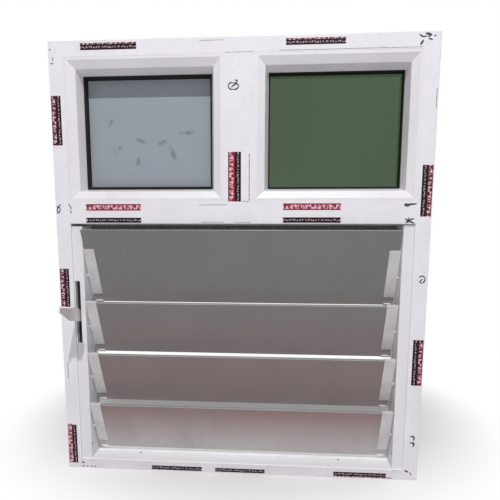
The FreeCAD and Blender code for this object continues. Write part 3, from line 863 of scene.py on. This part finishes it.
# %% Rolled lips of the clips
roll_half_long = 2.6 * MM
roll_half_thick = 1.4 * MM
roll_up = 2.0 * MM
roll_out = 1.5 * MM
roll_near, roll_far = 2 * MM, 21 * MM


def lip_section(node):
    """Ellipse c + 2.6 cos t along + 1.4 sin t toward the room, in mm, on the room side of the lip."""
    middle, along, across, half_long, half_thick, _, _ = blade_section(node)
    front = -across * np.sign(across[0])
    centre = middle + (roll_up - half_long) * along + (half_thick + roll_out) * front
    t = np.linspace(0, 2 * np.pi, 20, endpoint=False)[:, None]
    return centre + roll_half_long * np.cos(t) * along + roll_half_thick * np.sin(t) * front


# Near white lacquer: a painted highlight on the rolled lip.
lip_painted_highlight = lacquer("lip_painted_highlight", (0.93, 0.93, 0.94), (0.88, 0.875, 0.88), 0.3)
for k in range(1, 5):
    left_end, right_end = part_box("clip_left_%d" % k)[1][0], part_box("clip_right_%d" % k)[0][0]
    section = lip_section("blade_%d" % k)
    rolls = [rod_grid(left_end - roll_far, left_end - roll_near, section),
             rod_grid(right_end + roll_near, right_end + roll_far, section)]
    settle(piece_from_grids("clip_lips_%d" % k, rolls, wrap_columns=True), lip_painted_highlight,
           "louvre_%d" % k)

# %% [markdown]
# The top blade shuts toward a leg under the transom. A strip of grey pile lies on that leg, and its
# dark grey is painted shade, so the gap over the blade looks dark from the room. It is a low mound
# run along the leg.

# %% Pile strip under the transom
pile_sunk = 0.1 * MM
pile_high = 1.6 * MM
pile_margin = 0.6 * MM
side_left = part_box("left_louvre_channel")[1][0]
side_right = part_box("right_louvre_channel")[0][0]
leg_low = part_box("transom")[0][2]
leg_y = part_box("left_light_outer_gasket")[1][1]
t = np.linspace(0, np.pi, 11)
mound_y = leg_y + pile_sunk - pile_high * np.sin(t) ** 0.6
mound_z = (leg_low + transom_low) / 2 + ((transom_low - leg_low) / 2 - pile_margin) * np.cos(t)
mound = np.stack([mound_y, mound_z], axis=-1)
# The pile's dark grey is painted shade for the gap over the top blade.
pile_painted_shade_finish, tree, shader = new_finish("grey_pile_painted_shade", 0.95, Specular_IOR_Level=0.1)
tufts = noise(tree, placed(tree, (1, 1, 0.05)), 900.0, 3.0, 0.6)
paint(tree, shader, spread(tree, tufts, 0.35, 0.65), (0.19, 0.18, 0.17), (0.33, 0.34, 0.31))
emboss(tree, shader, tufts, 0.5, 0.0006)
strip = piece_from_grids("pile_strip", [rod_grid(side_left + MM, side_right - MM, mound)], wrap_columns=True)
settle(strip, pile_painted_shade_finish, "frame")

# %% [markdown]
# Screws hold the channels and the sill. A screw head is a dome over radius and angle, sunk along
# two crossing lines for the driver, and every head is the same grid turned to its own face.

# %% Screw heads
def screw_grid(place, normal, radius):
    """Dome h(r) = 0.45 R (1 - (r/R)^2)^0.6 over polar r, a, less a cross-shaped recess at its middle."""
    r = np.linspace(0.0, 1.0, 15)[:, None]
    a = np.linspace(0, 2 * np.pi, 48, endpoint=False)[None, :]
    u, v = r * np.cos(a), r * np.sin(a)
    dome = 0.45 * np.maximum(1 - r ** 2, 0) ** 0.6 * np.ones_like(a)
    arm = np.minimum(np.abs(u), np.abs(v))
    arm_end = np.maximum(np.abs(u), np.abs(v))
    recess = 0.3 / (1 + np.exp((arm - 0.12) * 60)) / (1 + np.exp((arm_end - 0.6) * 40))
    height = np.maximum(dome - recess, 0.02) + 0.1 * MM / radius
    height[-1] = -0.2
    axis = Vector(normal).normalized()
    turn = np.array(axis.to_track_quat("Z", "Y").to_matrix())
    local = np.stack([u, v, height], axis=-1) * radius
    return local @ turn.T + np.array(place)


sill_screws_x, sill_screws_y = (-0.278, 0.268), 7 * MM
sill_head, channel_head = 3.2 * MM, 3.0 * MM
screw_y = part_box("left_louvre_channel")[0][1] + 6 * MM
screw_heights = (sill_top + 38 * MM, transom_low - 18 * MM)
screws = [((x, sill_screws_y, sill_top), (0, 0, 1), sill_head) for x in sill_screws_x]
for x, way in ((side_left, 1), (side_right, -1)):
    for z in screw_heights:
        screws.append(((x, screw_y, z), (way, 0, 0), channel_head))
steel, tree, shader = new_finish("dark_steel", 0.38, Metallic=0.9)
tarnish = noise(tree, placed(tree), 600.0, 4.0)
paint(tree, shader, tarnish, (0.20, 0.20, 0.21), (0.34, 0.33, 0.33))
heads = piece_from_grids("screw_heads", [screw_grid(*screw) for screw in screws], wrap_columns=True)
settle(heads, steel, "frame")

# %% [markdown]
# The studio has a pale floor and a bright sky. Their full white shows only where they are looked at,
# also in gloss and through glass, so that it doesn't flood the window with light. The floor turns
# white away from the spot half a metre behind the window, where the shadow lies.

# %% Floor of the studio
floor_radius = 9.0
floor_drop = 0.3 * MM
shadow_shift = (0, -0.5, 0)


def floor_disc(radius):
    """Flat disc: rings at radius (i/n)^2 so that the middle is fine and the rim far away."""
    r = radius * np.linspace(0.0, 1.0, 24)[:, None] ** 2
    a = np.linspace(0, 2 * np.pi, 72, endpoint=False)[None, :]
    return np.stack([r * np.cos(a), r * np.sin(a), np.full((24, 72), -floor_drop)], axis=-1)


def looked_at(tree):
    """1 for a ray from the camera, off gloss or through glass, and 0 for the light that bounces about."""
    path = tree.nodes.new("ShaderNodeLightPath")
    by_gloss = math_node(tree, "MAXIMUM", path.outputs["Is Glossy Ray"], path.outputs["Is Transmission Ray"])
    return math_node(tree, "MAXIMUM", path.outputs["Is Camera Ray"], by_gloss)


def show(tree, factor, first, second, end):
    """Link to the end node a shader that goes from first to second as factor goes from 0 to 1."""
    node = tree.nodes.new("ShaderNodeMixShader")
    for value, socket in zip((factor, first, second), node.inputs):
        tree.links.new(value, socket)
    tree.links.new(node.outputs["Shader"], tree.nodes[end].inputs["Surface"])


floor = piece_from_grids("studio_floor", [floor_disc(floor_radius)], wrap_columns=True, facing=(0, 0, 1))
pale, tree, shader = new_finish("pale_floor", 0.7, Specular_IOR_Level=0.2)
paint(tree, shader, noise(tree, placed(tree), 1.3, 2.0), (0.86, 0.86, 0.86), (0.89, 0.89, 0.89))
glow = tree.nodes.new("ShaderNodeEmission")
fade = spread(tree, length_of(tree, placed(tree, shift=shadow_shift)), 0.5, 0.9, 0.1, 1.0)
whitened = math_node(tree, "MULTIPLY", fade, looked_at(tree))
show(tree, whitened, shader.outputs["BSDF"], glow.outputs["Emission"], "Material Output")
floor.data.materials.append(pale)
print("floor %.0f m across" % (2 * floor_radius))

# %% [markdown]
# The sky does two jobs: it is the white that the camera sees, and a weak fill on the window from all
# round. A light path chooses between the two.

# %% Sky of the studio
world = bpy.data.worlds.new("studio_sky")
world.use_nodes = True
bpy.context.scene.world = world
sky = world.node_tree
fill = sky.nodes["Background"]
fill.inputs["Color"].default_value = (1.0, 0.95, 0.985, 1.0)
fill.inputs["Strength"].default_value = 0.24
white = sky.nodes.new("ShaderNodeBackground")
white.inputs["Color"].default_value = (1, 1, 1, 1)
show(sky, looked_at(sky), fill.outputs["Background"], white.outputs["Background"], "World Output")
print("fill from the sky: %.2f" % fill.inputs["Strength"].default_value)

# %% [markdown]
# There are two lamps: a small one high in front of the window and a low soft one before it. The
# shadows of lever and beads fall at different slopes, so the small lamp is a near one: a far light
# would give both the same slope. The soft one doesn't show in glossy surfaces.

# %% Lamps of the studio
window_middle = Vector((0, 0, 0.55))


def lamp(name, power, size, place, colour):
    """Round lamp of the given size at a place in metres, turned to the middle of the window."""
    data = bpy.data.lights.new(name, "AREA")
    data.shape = "DISK"
    data.energy = power
    data.size = size
    data.color = colour
    light = bpy.data.objects.new(name, data)
    light.location = place
    light.rotation_euler = (window_middle - light.location).to_track_quat("-Z", "Y").to_euler()
    bpy.context.scene.collection.objects.link(light)
    print(name, "lamp %.1f m from the window" % (window_middle - light.location).length)
    return light


lamp("key", power=96.0, size=0.08, place=(0.24, face_y - 2.3, 3.75), colour=(1.0, 0.99, 1.0))
low_fill = lamp("low_fill", power=10.0, size=1.6, place=(0.1, face_y - 2.6, 0.45), colour=(1.0, 0.975, 0.99))
low_fill.visible_glossy = False
